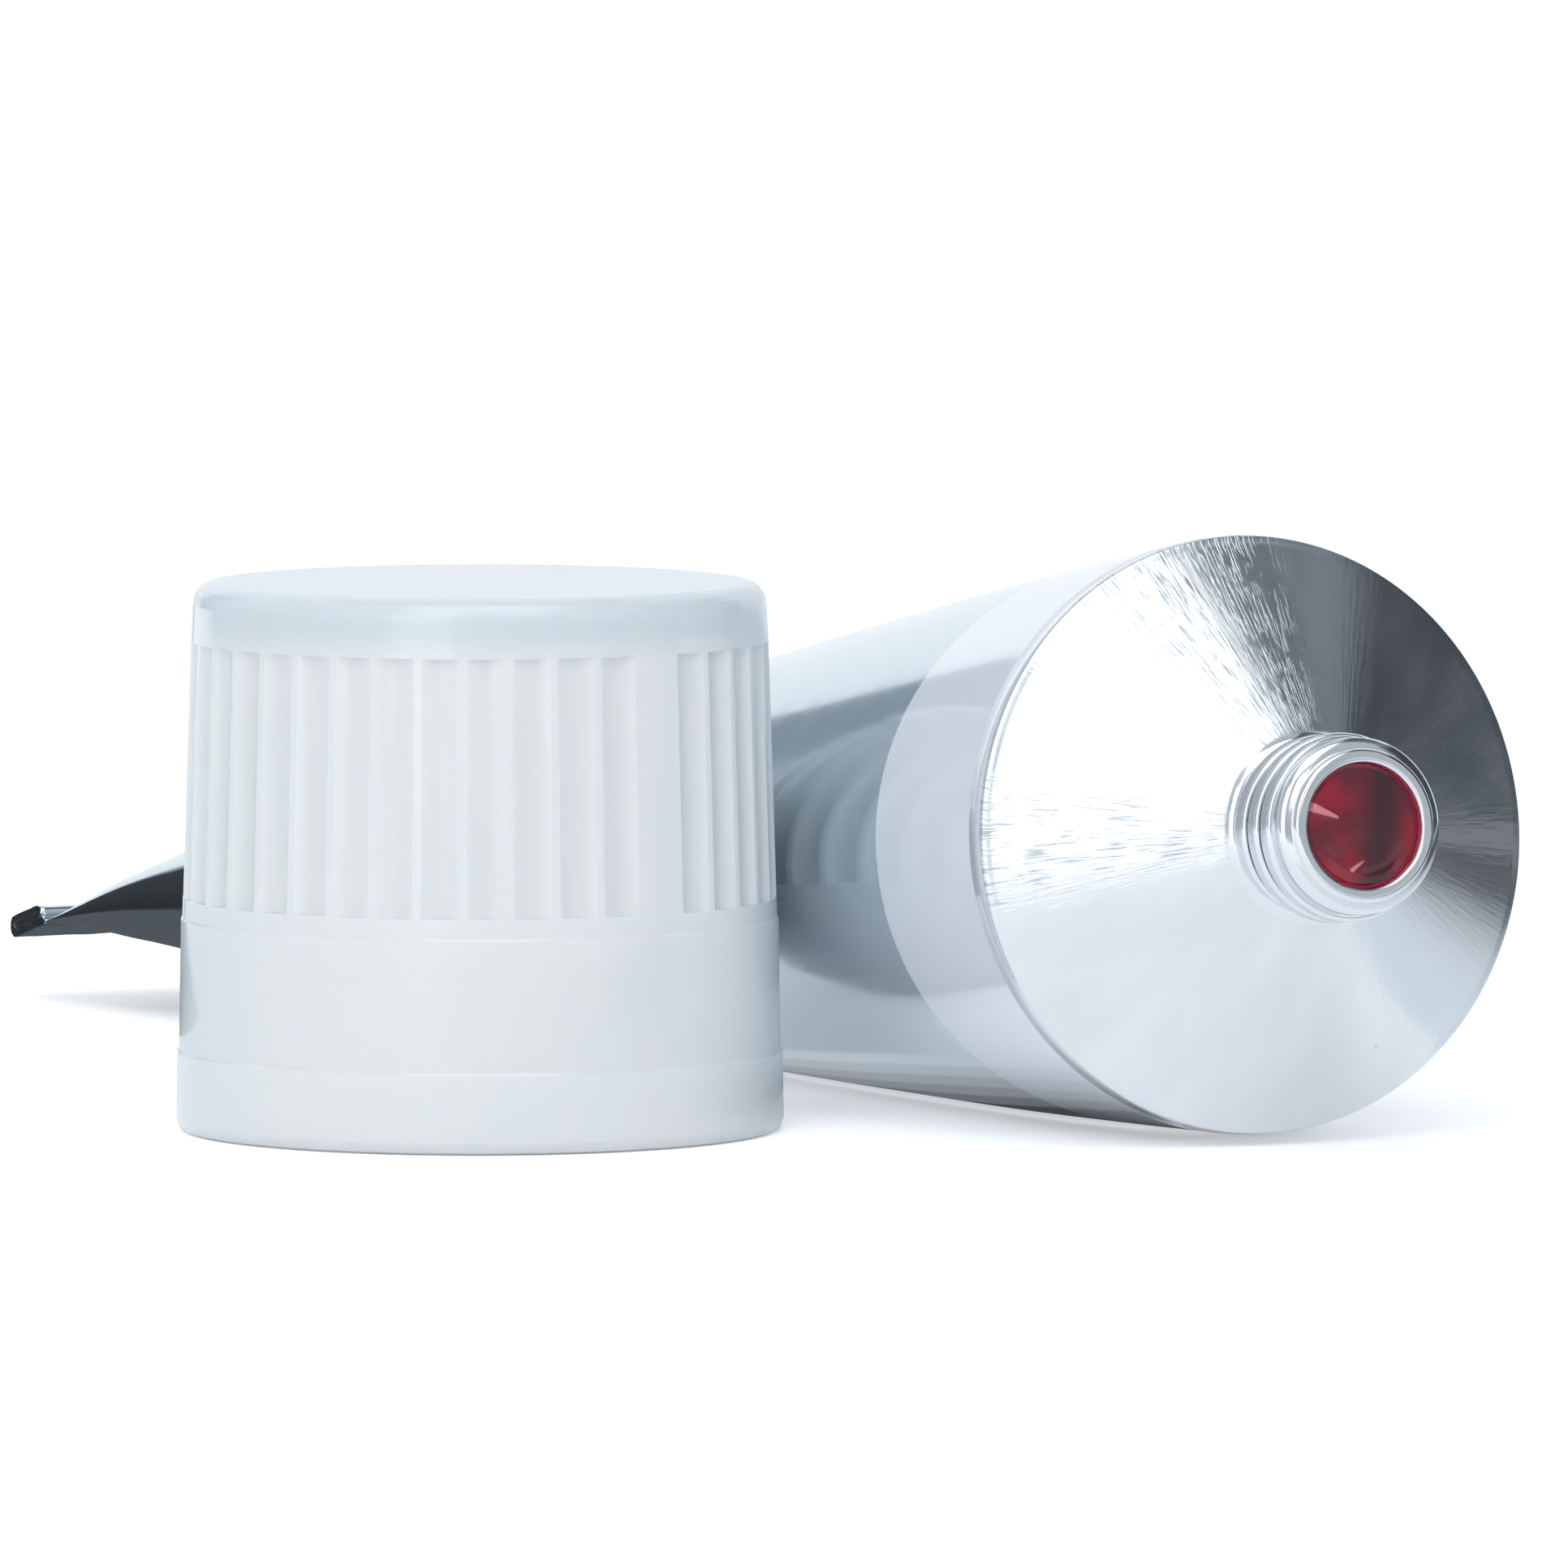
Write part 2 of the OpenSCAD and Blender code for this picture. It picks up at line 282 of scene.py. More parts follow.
def bare_material():
    """Bare drawn metal of the shoulder, with fans of fine scratches that run out from the neck."""
    m = Nodes("tube_bare_metal")
    uv = m.uv("turned")
    turn = m.split(uv)[0]
    left_fan = fan(m, turn, 0.498, 0.056)
    top_fan = fan(m, turn, 0.295, 0.090)
    fans = m.math("MAXIMUM", left_fan, top_fan)
    lines = m.noise(m.scaled(uv, (620.0, 0.34, 1.0)), 1.0, 2.0, 0.6)
    patch = m.noise(m.scaled(uv, (60.0, 0.34, 1.0), (7.0, 3.0, 0.0)), 1.0, 3.0, 0.6)
    broken_fans = m.math("MULTIPLY", fans, m.ramp(patch, 0.36, 0.56))
    cut = m.math("MULTIPLY", m.ramp(lines, 0.50, 0.62), broken_fans)
    drawn = m.noise(m.scaled(uv, (300.0, 0.25, 1.0), (5.0, 1.0, 0.0)), 1.0, 2.0)
    hair = m.ramp(drawn, 0.35, 0.75)
    soft = m.noise(m.scaled(uv, (26.0, 0.10, 1.0), (2.0, 9.0, 0.0)), 1.0, 2.0)
    plain = m.mix(m.ramp(soft, 0.3, 0.7), METAL_DIM, METAL_BRIGHT)
    # Scattered pin-head marks, in one cell of ten
    marks = m.add("ShaderNodeTexVoronoi")
    m.link(m.coord(), marks.inputs["Vector"])
    marks.inputs["Scale"].default_value = 330.0
    few = m.math("GREATER_THAN", m.split(marks.outputs["Color"])[0], 0.90)
    pin = m.math("MULTIPLY", few, m.ramp(marks.outputs["Distance"], 0.05, 0.09, 1.0, 0.0))
    scraped = m.mix(m.math("MULTIPLY", cut, 0.85), plain, METAL_SCRATCH)
    marked = m.mix(m.math("MULTIPLY", pin, 0.6), scraped, METAL_PIN_MARK)
    m.set(Base_Color=marked, Metallic=1.0)
    ground = m.ramp(soft, 0.3, 0.7, 0.20, 0.26)
    m.set(Roughness=m.math("ADD", ground, m.math("MULTIPLY", cut, 0.14)))
    first = m.bump(hair, 0.08, 0.00005)
    m.set(Normal=m.bump(cut, 0.35, 0.00005, first))
    return m.mat


def neck_material():
    """Polished metal of the neck and lip."""
    m = Nodes("tube_neck_metal")
    cloud = m.noise(m.coord(), 700.0, 3.0)
    m.set(Base_Color=NECK_BRIGHT, Metallic=1.0)
    m.set(Roughness=m.ramp(cloud, 0.3, 0.7, 0.08, 0.18))
    m.set(Normal=m.bump(cloud, 0.10, 0.00008))
    return m.mat


def polish_material():
    """Glossy wine-red paste, darker in a soft band of painted shade, with a painted pink-red sheen along
    its edge and a painted pink highlight on its raised scraps of ripped skin.
    """
    m = Nodes("polish_paste")
    # Places are counted from the middle of the mouth, in metres
    place = m.scaled(m.coord(), (1.0, 1.0, 1.0), -lay(MOUTH_H, 0.0, 0.0))
    off = m.split(place)
    lean = m.math("MULTIPLY_ADD", off[2], -0.16, m.math("ADD", off[1], -0.00110))
    # Painted shade: a soft dark band across the paste
    band = m.ramp(m.math("ABSOLUTE", lean), 0.0002, 0.0017, 1.0, 0.0)
    cloud = m.noise(m.coord(), 230.0, 2.0, 0.5)
    red = m.mix(m.ramp(cloud, 0.35, 0.68), WINE_DARK, WINE_RED)
    with_painted_shade = m.mix(m.math("MULTIPLY", band, 0.88), red, WINE_PAINTED_SHADE)
    reach = m.add("ShaderNodeVectorMath", operation="LENGTH")
    m.link(place, reach.inputs[0])
    # A painted red sheen along the paste's edge by the wall
    edge = m.ramp(reach.outputs["Value"], 0.00344, 0.00358)
    # The raised scraps are painted pink: a painted highlight on ripped skin
    skin = m.add("ShaderNodeAttribute", attribute_name="torn_skin_highlight").outputs["Fac"]
    with_painted_sheen = m.mix(m.math("MULTIPLY", edge, 0.8), with_painted_shade, WINE_PAINTED_SHEEN)
    m.set(Base_Color=m.mix(m.ramp(skin, 0.35, 0.65), with_painted_sheen, SCRAP_PAINTED_HIGHLIGHT))
    m.set(Roughness=0.18, Coat_Weight=0.35, Coat_Roughness=0.03, Specular_IOR_Level=0.4)
    m.set(Subsurface_Weight=0.10, Subsurface_Radius=(0.0015, 0.0003, 0.0004), Subsurface_Scale=0.4)
    m.set(Normal=m.bump(m.noise(m.coord(), 130.0, 1.0), 0.18, 0.0004))
    return m.mat


def cap_material():
    """White translucent moulded plastic, bluer at its edges and round its top, where shade is painted into
    its colour.
    """
    m = Nodes("cap_plastic")
    place = m.coord()
    cloud = m.noise(place, 90.0, 2.0)
    height = m.split(place)[2]
    body = m.mix(m.ramp(cloud, 0.3, 0.7), PLASTIC_DIM, PLASTIC_LIGHT)
    # Painted shade: bluer grey where the surface turns away from the view, along the cap's sides
    weight = m.add("ShaderNodeLayerWeight")
    weight.inputs["Blend"].default_value = 0.5
    away = m.ramp(weight.outputs["Facing"], 0.25, 0.95)
    edge = m.mix(m.math("MULTIPLY", away, 0.75), body, PLASTIC_PAINTED_EDGE_SHADE)
    # Painted shade round the top: most in the band above the grip, less on its face
    above_grip = m.ramp(height, 0.0282, 0.0306)
    top_face = m.ramp(height, 0.0320, 0.03225, 1.0, 0.60)
    painted_top_shade = m.math("MULTIPLY", above_grip, top_face)
    m.set(Base_Color=m.mix(m.math("MULTIPLY", painted_top_shade, 0.62), edge, PLASTIC_PAINTED_TOP_SHADE))
    m.set(Roughness=0.30, IOR=1.46, Coat_Weight=0.5, Coat_Roughness=0.06)
    m.set(Subsurface_Weight=0.6, Subsurface_Radius=(0.9, 0.95, 1.0), Subsurface_Scale=0.003)
    flow = m.noise(m.scaled(place, (1.0, 1.0, 0.15)), 240.0, 2.0)
    m.set(Normal=m.bump(flow, 0.05, 0.0003))
    return m.mat


LACQUER = lacquer_material()
BARE = bare_material()
NECK = neck_material()
PASTE = polish_material()
PLASTIC = cap_material()


# The body's skin, from the rim to the flat strip


def body_skin():
    """The body's wall, from the rim to the flat strip, with soft dents."""
    around, along = 192, 150
    dents_from, dents_over = 70.0, 48.0
    plain_to, plain_over = 2.0, 20.0
    inward_share, side_share = 0.14, 0.25
    mesh = bpy.data.meshes.new("tube_skin")
    bm = bmesh.new()
    layer = bm.loops.layers.uv.new("body")
    rows = []
    for k in range(along + 1):
        t = k / along
        # Rows lie closer together towards the end, and the last ones reach into the folded strip
        s = BODY_LEN * (0.65 * t + 0.35 * math.sin(math.pi / 2 * t)) + 0.9 * t ** 8
        h = max(FLAT_H, half_h(s))
        w = half_w(s, h)
        power = oval_share(s)
        near = max(0.0, (s - dents_from) / dents_over)
        row = []
        for i in range(around):
            a = 2 * math.pi * (i + 0.5) / around
            flat = (w - h) * math.copysign(abs(math.cos(a)) ** power, math.cos(a))
            y, z = flat + h * math.cos(a), h * math.sin(a)
            # Soft dents that grow towards the fold
            dent = noise.noise(Vector((s * 0.055, y * 0.09, math.copysign(1.0, z) * 3.0 + z * 0.05)))
            fine = noise.noise(Vector((s * 0.10, y * 0.35, math.copysign(2.0, z) + 9.0)))
            room = min(1.0, h / 2.5)
            push = (0.10 + 0.45 * near ** 1.5) * dent * room + 0.22 * near ** 2 * fine * room
            # Inward dents stay within the sheet, so that the paste keeps its place
            push *= inward_share if push < 0 else 1.0
            early = min(1.0, max(0.0, s - plain_to) / plain_over)
            z += push * early * math.sin(a) if abs(z) > 0.01 else 0.0
            y += side_share * push * early * math.cos(a)
            row.append(bm.verts.new(lay(-s, y, z - droop(s))))
        rows.append((s, row))
    for k in range(along):
        (s0, r0), (s1, r1) = rows[k], rows[k + 1]
        for i in range(around):
            j = (i + 1) % around
            face = bm.faces.new((r0[i], r1[i], r1[j], r0[j]))
            face.smooth = True
            u0, u1 = i / around, (i + 1) / around
            for loop, value in zip(face.loops, ((u0, s0), (u0, s1), (u1, s1), (u1, s0))):
                loop[layer].uv = value
    bm.to_mesh(mesh)
    bm.free()
    mesh.materials.append(LACQUER)
    return link("tube_skin", mesh)


def revolve(name, profile, around, uv_name, materials):
    """A turned form on the tube's axis. Profile rows are (radius, distance ahead of the rim, material)."""
    mesh = bpy.data.meshes.new(name)
    bm = bmesh.new()
    layer = bm.loops.layers.uv.new(uv_name)
    behind_rim = bm.loops.layers.uv.new("body")
    rows = []
    run = 0.0
    for k, (r, x, mat) in enumerate(profile):
        if k:
            run += math.hypot(r - profile[k - 1][0], x - profile[k - 1][1])
        ring = []
        for i in range(around):
            a = 2 * math.pi * i / around
            ring.append(bm.verts.new(lay(x, r * math.cos(a), r * math.sin(a))))
        rows.append((run, ring, mat))
    for k in range(len(rows) - 1):
        (v0, r0, mat), (v1, r1, _) = rows[k], rows[k + 1]
        for i in range(around):
            j = (i + 1) % around
            face = bm.faces.new((r0[i], r0[j], r1[j], r1[i]))
            face.smooth = True
            face.material_index = mat
            u0, u1 = i / around, (i + 1) / around
            for loop, value in zip(face.loops, ((u0, v0), (u1, v0), (u1, v1), (u0, v1))):
                loop[layer].uv = value
                # On this map the skirt lies within the pale ring
                loop[behind_rim].uv = (value[0], 1.0)
    bm.to_mesh(mesh)
    bm.free()
    for mat in materials:
        mesh.materials.append(mat)
    return link(name, mesh)


def arc(cx, cr, radius, a0, a1, steps, mat):
    """Points of a round corner in the turned section, by angle from straight out."""
    rows = []
    for k in range(steps + 1):
        a = math.radians(a0 + (a1 - a0) * k / steps)
        rows.append((cr + radius * math.cos(a), cx + radius * math.sin(a), mat))
    return rows


def shoulder():
    """Rim, cone, neck and lip in one turned form."""
    skirt, metal, polished = 0, 1, 2
    rim_r = TUBE_R - 0.006
    rows = [(rim_r - 0.12, -1.6, skirt), (rim_r, -1.45, skirt), (rim_r, -0.05, skirt), (rim_r, 0.0, metal)]
    rows += arc(0.02, rim_r - RIM_ROUND, RIM_ROUND, 0, 50, 6, metal)
    (r0, x0), (r1, x1) = (TUBE_R - 0.42, 0.36), (6.05, CONE_H - 0.2)
    cone_steps = 40
    for k in range(cone_steps + 1):
        t = k / cone_steps
        rows.append((r0 + (r1 - r0) * t, x0 + (x1 - x0) * t, metal))
    # Small fillet where the neck rises from the cone
    rows.append((5.82, CONE_H - 0.02, metal))
    for r, x in ((5.66, 0.12), (5.52, 0.32), (5.30, 0.45), (5.05, 0.52), (ROOT_R, 0.62)):
        rows.append((r, CONE_H + x, polished))
    # Land behind the lip
    for less, x in ((LAND_R - ROOT_R, -0.02), (0.06, 0.06), (0.0, 0.12), (0.0, 0.52), (0.05, 0.62)):
        rows.append((LAND_R - less, LAND_LOW + x, polished))
    # Groove under the lip
    for r, x in ((4.78, 0.62), (4.52, 0.57), (4.40, 0.52), (4.42, 0.46)):
        rows.append((r, MOUTH_H - x, polished))
    rows += arc(MOUTH_H - LIP_ROUND - 0.005, LIP_R - LIP_ROUND, LIP_ROUND, 0, 90, 8, polished)
    inner = LIP_INNER_ROUND
    rows += arc(MOUTH_H - inner - 0.005, MOUTH_R + inner, inner, 90, 180, 6, polished)
    rows += [(MOUTH_R, MOUTH_H - 1.5, polished), (MOUTH_R, CONE_H, polished)]
    return revolve("tube_shoulder", rows, 256, "turned", [LACQUER, BARE, NECK])


def thread_group():
    """Node group that runs a raised profile round the neck in turns."""
    group = bpy.data.node_groups.new("raised_turns", "GeometryNodeTree")
    group.interface.new_socket("Geometry", in_out="OUTPUT", socket_type="NodeSocketGeometry")
    pitch = group.interface.new_socket("Pitch", in_out="INPUT", socket_type="NodeSocketFloat")
    turns = group.interface.new_socket("Turns", in_out="INPUT", socket_type="NodeSocketFloat")
    radius = group.interface.new_socket("Radius", in_out="INPUT", socket_type="NodeSocketFloat")
    sizes = {pitch.identifier: PITCH * MM, turns.identifier: TURNS, radius.identifier: ROOT_R * MM}
    nodes, links = group.nodes, group.links
    start = nodes.new("NodeGroupInput")
    end = nodes.new("NodeGroupOutput")
    spiral = nodes.new("GeometryNodeCurveSpiral")
    spiral.inputs["Resolution"].default_value = 96
    height = nodes.new("ShaderNodeMath")
    height.operation = "MULTIPLY"
    links.new(start.outputs["Pitch"], height.inputs[0])
    links.new(start.outputs["Turns"], height.inputs[1])
    links.new(height.outputs[0], spiral.inputs["Height"])
    links.new(start.outputs["Turns"], spiral.inputs["Rotations"])
    links.new(start.outputs["Radius"], spiral.inputs["Start Radius"])
    links.new(start.outputs["Radius"], spiral.inputs["End Radius"])
    # The turns fade in and out at their ends
    spline = nodes.new("GeometryNodeSplineParameter")
    grow = nodes.new("ShaderNodeMapRange")
    grow.inputs["From Max"].default_value = 0.07
    links.new(spline.outputs["Factor"], grow.inputs["Value"])
    fade = nodes.new("ShaderNodeMapRange")
    fade.inputs["From Min"].default_value = 1.0
    fade.inputs["From Max"].default_value = 0.93
    links.new(spline.outputs["Factor"], fade.inputs["Value"])
    least = nodes.new("ShaderNodeMath")
    least.operation = "MINIMUM"
    links.new(grow.outputs["Result"], least.inputs[0])
    links.new(fade.outputs["Result"], least.inputs[1])
    keep = nodes.new("ShaderNodeMath")
    keep.operation = "MAXIMUM"
    keep.inputs[1].default_value = 0.05
    links.new(least.outputs[0], keep.inputs[0])
    # A flat-topped ridge with rounded corners; its inner half is sunk in the neck
    ridge = nodes.new("GeometryNodeCurvePrimitiveQuadrilateral")
    ridge.inputs["Width"].default_value = 2 * (CREST_R - ROOT_R) * MM
    ridge.inputs["Height"].default_value = RIDGE_W * MM
    rounded = nodes.new("GeometryNodeFilletCurve")
    rounded.mode = "POLY"
    rounded.inputs["Count"].default_value = 5
    rounded.inputs["Radius"].default_value = RIDGE_ROUND * MM
    links.new(ridge.outputs["Curve"], rounded.inputs["Curve"])
    upright = nodes.new("GeometryNodeSetCurveNormal")
    upright.mode = "Z_UP"
    links.new(spiral.outputs["Curve"], upright.inputs["Curve"])
    sweep = nodes.new("GeometryNodeCurveToMesh")
    links.new(upright.outputs["Curve"], sweep.inputs["Curve"])
    links.new(rounded.outputs["Curve"], sweep.inputs["Profile Curve"])
    links.new(keep.outputs[0], sweep.inputs["Scale"])
    sweep.inputs["Fill Caps"].default_value = True
    shade = nodes.new("GeometryNodeSetShadeSmooth")
    links.new(sweep.outputs["Mesh"], shade.inputs["Geometry"])
    real = nodes.new("GeometryNodeRealizeInstances")
    links.new(shade.outputs["Geometry"], real.inputs["Geometry"])
    paint = nodes.new("GeometryNodeSetMaterial")
    paint.inputs["Material"].default_value = NECK
    links.new(real.outputs["Geometry"], paint.inputs["Geometry"])
    links.new(paint.outputs["Geometry"], end.inputs["Geometry"])
    return group, sizes


def neck_thread():
    """The thread's turns, set on the neck as a plain mesh."""
    mesh = bpy.data.meshes.new("tube_thread")
    obj = link("tube_thread", mesh)
    mod = obj.modifiers.new("turns", "NODES")
    mod.node_group, sizes = thread_group()
    for socket, value in sizes.items():
        mod[socket] = value
    bpy.context.view_layer.update()
    # The turns are made round +Z, made real, and then set on the neck
    deps = bpy.context.evaluated_depsgraph_get()
    real = bpy.data.meshes.new_from_object(obj.evaluated_get(deps))
    obj.modifiers.clear()
    obj.data = real
    foot = RIM * MM + AXIS * (THREAD_FROM * MM)
    turn = Matrix.Rotation(math.pi / 2 - TILT, 4, "Y")
    real.transform(Matrix.Translation(foot) @ turn)
    return obj


def fold_strip():
    """The flat end, folded over twice, as one sheet with a little waviness."""
    step, t = LAYER_STEP, LAYER_T
    bend_steps, inner_bend_steps = 12, 8
    x_end, x_in = -BODY_LEN - FOLD_LEN + step, -BODY_LEN - 1.1
    path = [(-BODY_LEN - 0.2, 0.0), (-BODY_LEN - 1.5, 0.0), (-BODY_LEN - 3.0, 0.0), (x_end, 0.0)]
    for k in range(1, bend_steps + 1):
        a = math.pi * k / bend_steps
        path.append((x_end - step * math.sin(a), step - step * math.cos(a)))
    path += [(x_end + 1.3, 2 * step), (x_end + 2.6, 2 * step), (x_in, 2 * step)]
    for k in range(1, inner_bend_steps + 1):
        a = math.pi * k / inner_bend_steps
        path.append((x_in + step / 2 * math.sin(a), step * 1.5 + step / 2 * math.cos(a)))
    path += [(x_in - 1.5, step), (x_in - 2.6, step), (x_end + 0.15, step)]
    mesh = bpy.data.meshes.new("tube_fold")
    bm = bmesh.new()
    layer = bm.loops.layers.uv.new("body")
    past_ring = (0.0, 130.0)
    half = half_w(BODY_LEN, FLAT_H, TUBE_R) + 0.02
    count = 120
    rows = []
    for j in range(count + 1):
        y = -half + 2 * half * j / count
        edge = max(0.0, abs(y) / half - 0.9) * 10
        wave = 0.10 * noise.noise(Vector((y * 0.12, 1.7, 0.3)))
        wave += 0.05 * noise.noise(Vector((y * 0.6, 4.1, 2.2)))
        row = []
        for side in (1, -1):
            # Out along the sheet's one face and back along the other
            line = path if side > 0 else path[::-1]
            for k, (x, z) in enumerate(line):
                n = k if side > 0 else len(path) - 1 - k
                a, b = path[max(0, n - 1)], path[min(len(path) - 1, n + 1)]
                dx, dz = b[0] - a[0], b[1] - a[1]
                size = math.hypot(dx, dz)
                # Half the sheet's thickness, square to the sheet
                ox, oz = dz / size * t / 2 * side, -dx / size * t / 2 * side
                back = min(1.0, max(0.0, (-x - BODY_LEN) / 2.0))
                dip = (wave + 0.10 * edge * noise.noise(Vector((y, x, 0.0)))) * back
                pull = (0.09 + 0.10 * noise.noise(Vector((y * 0.5, z * 2.0, 5.0)))) * back
                along, rise = x + ox + pull + BODY_LEN, z + oz + dip
                bent_x = along * math.cos(TAIL_BEND) - rise * math.sin(TAIL_BEND) - BODY_LEN
                bent_z = along * math.sin(TAIL_BEND) + rise * math.cos(TAIL_BEND) - droop(BODY_LEN)
                row.append(bm.verts.new(lay(bent_x, y, bent_z)))
        rows.append(row)
    size = len(rows[0])
    for j in range(count):
        for k in range(size):
            n = (k + 1) % size
            face = bm.faces.new((rows[j][k], rows[j + 1][k], rows[j + 1][n], rows[j][n]))
            face.smooth = True
            for loop in face.loops:
                loop[layer].uv = past_ring
    # The sheet's two cut edges
    for row, flip in ((rows[0], False), (rows[-1], True)):
        for k in range(len(path) - 1):
            quad = [row[k], row[k + 1], row[size - 2 - k], row[size - 1 - k]]
            if flip:
                quad.reverse()
            face = bm.faces.new(quad)
            for loop in face.loops:
                loop[layer].uv = past_ring
    bmesh.ops.recalc_face_normals(bm, faces=bm.faces)
    bm.to_mesh(mesh)
    bm.free()
    mesh.materials.append(LACQUER)
    return link("tube_fold", mesh)


skin = body_skin()
cone = shoulder()
thread = neck_thread()
fold = fold_strip()
for piece in (skin, cone, thread, fold):
    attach(piece, "root")
    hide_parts("tube")


# The paste in the mouth


def paste_face():
    """The paste's surface in the mouth: a low dome with a few soft folds."""
    rings, around = 44, 144
    top = MOUTH_H - PASTE_LOW
    # Two raised scraps of ripped skin, painted pink by the paste's material as a painted highlight: each
    # runs from one place to another, with a width and a height
    scraps = (((-3.35, 1.25), (-1.7, 0.55), 0.30, 0.20), ((-0.85, -2.55), (-0.05, -2.0), 0.12, 0.14))
    mesh = bpy.data.meshes.new("polish_face")
    bm = bmesh.new()
    rows = []
    torn_skin_highlight = bm.verts.layers.float.new("torn_skin_highlight")
    for k in range(rings + 1):
        r = (MOUTH_R - 0.02) * k / rings
        row = []
        for i in range(around if k else 1):
            a = 2 * math.pi * i / around
            y, z = r * math.cos(a), r * math.sin(a)
            # A dome that drops at the wall, with a soft unevenness
            rise = PASTE_RISE * (1 - (r / MOUTH_R) ** 2) - 0.25 * (r / MOUTH_R) ** 10
            rise += 0.10 * noise.noise(Vector((y * 0.40, z * 0.40, 3.0))) * (1 - (r / MOUTH_R) ** 4)
            scrap_highlight_here = 0.0
            for (y0, z0), (y1, z1), wide, high in scraps:
                run_y, run_z = y1 - y0, z1 - z0
                along = ((y - y0) * run_y + (z - z0) * run_z) / math.hypot(run_y, run_z) ** 2
                t = min(1.0, max(0.0, along))
                off = math.hypot(y - y0 - t * run_y, z - z0 - t * run_z)
                bulge = math.exp(-(off / (wide * (1.15 - 0.8 * t))) ** 2)
                rise += high * bulge * min(1.0, (MOUTH_R - r) / 0.4)
                scrap_highlight_here = max(scrap_highlight_here, bulge)
            vert = bm.verts.new(lay(top + rise, y, z))
            vert[torn_skin_highlight] = scrap_highlight_here
            row.append(vert)
        rows.append(row)
    for i in range(around):
        j = (i + 1) % around
        bm.faces.new((rows[0][0], rows[1][i], rows[1][j])).smooth = True
        for k in range(1, rings):
            bm.faces.new((rows[k][i], rows[k + 1][i], rows[k + 1][j], rows[k][j])).smooth = True
    bmesh.ops.recalc_face_normals(bm, faces=bm.faces)
    bm.to_mesh(mesh)
    bm.free()
    mesh.materials.append(PASTE)
    return link("polish_face", mesh)


face = paste_face()
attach(face, "root")


def repaint(name, material):
    """Gives a carried-over solid its finished material."""
    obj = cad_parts[name]
    obj.data.materials.clear()
    obj.data.materials.append(material)


repaint("screw_cap", PLASTIC)
repaint("polish", PASTE)


# Camera, at the photograph's angle

AZ = math.radians(24.7)
DOWN = math.radians(4.3)
RIGHT = Vector((math.sin(AZ), math.cos(AZ), 0.0))
AWAY = Vector((-math.cos(AZ), math.sin(AZ), 0.0))
UP = Vector((0.0, 0.0, 1.0))
VIEW = AWAY * math.cos(DOWN) - UP * math.sin(DOWN)
CAM_UP = AWAY * math.sin(DOWN) + UP * math.cos(DOWN)
FOCAL_PX = 25000.0
FRAME_PX = 1932.0
SENSOR_MM = 36.0
CAM_LEFT = 27.25
CAM_BACK = 1184.5
CAM_RISE = 2.93
spot = (RIM - RIGHT * CAM_LEFT - VIEW * CAM_BACK + CAM_UP * CAM_RISE) * MM
camera = bpy.data.objects.new("camera", bpy.data.cameras.new("camera"))
bpy.context.scene.collection.objects.link(camera)
camera.matrix_world = Matrix.Translation(spot) @ Matrix((RIGHT, CAM_UP, -VIEW)).transposed().to_4x4()
camera.data.sensor_width = SENSOR_MM
camera.data.lens = SENSOR_MM * FOCAL_PX / FRAME_PX
camera.data.clip_start = 0.01
camera.data.clip_end = 20.0
bpy.context.scene.camera = camera


# Floor, cards and lights, placed by the camera's own directions round the object

MIDDLE = Vector((0.02, 0.0, 0.015))
TABLE_HALF = 4.0
TABLE_Z = -0.00002
TABLE_IN_SHINE = 0.55
FLAG_Z = 0.0006


def table():
    """A level white table. Its glow is for the camera and for shiny surfaces, and lights nothing."""
    half, low = TABLE_HALF, TABLE_Z
    corners = [(-half, -half, low), (half, -half, low), (half, half, low), (-half, half, low)]
    mesh = bpy.data.meshes.new("table")
    mesh.from_pydata(corners, [], [(0, 1, 2, 3)])
    m = Nodes("table_white")
    spread = m.add("ShaderNodeVectorMath", operation="LENGTH")
    m.link(m.coord(), spread.inputs[0])
    # Fainter near the object, where the table keeps its shadow
    glow = m.ramp(spread.outputs["Value"], 0.12, 1.2, 0.40, 0.85)
    ray = m.add("ShaderNodeLightPath").outputs
    shiny = m.math("MAXIMUM", ray["Is Glossy Ray"], ray["Is Transmission Ray"])
    seen = m.math("MAXIMUM", ray["Is Camera Ray"], m.math("MULTIPLY", shiny, TABLE_IN_SHINE))
    m.set(Base_Color=TABLE_WHITE, Roughness=1.0, Specular_IOR_Level=0.0)
    m.set(Emission_Color=WHITE, Emission_Strength=m.math("MULTIPLY", glow, seen))
    mesh.materials.append(m.mat)
    link("table", mesh)


def aim(obj, way, distance):
    """Puts an object in a direction seen from the camera: right, up and towards the camera."""
    side, up, near = way
    out = (RIGHT * side + UP * up - AWAY * near).normalized()
    obj.location = MIDDLE + out * distance
    obj.rotation_euler = (-out).to_track_quat("-Z", "Y").to_euler()


def softbox(name, way, distance, width, height, glow):
    """An area light of a given brightness in shiny surfaces."""
    data = bpy.data.lights.new(name, "AREA")
    data.shape = "RECTANGLE"
    data.size = width
    data.size_y = height
    data.energy = glow * math.pi * width * height
    obj = bpy.data.objects.new(name, data)
    bpy.context.scene.collection.objects.link(obj)
    aim(obj, way, distance)
    obj.visible_camera = False
    return obj


def only_in_shine(obj):
    """The card is seen by shiny surfaces alone."""
    obj.visible_camera = False
    obj.visible_diffuse = False
    obj.visible_shadow = False
    obj.visible_transmission = False


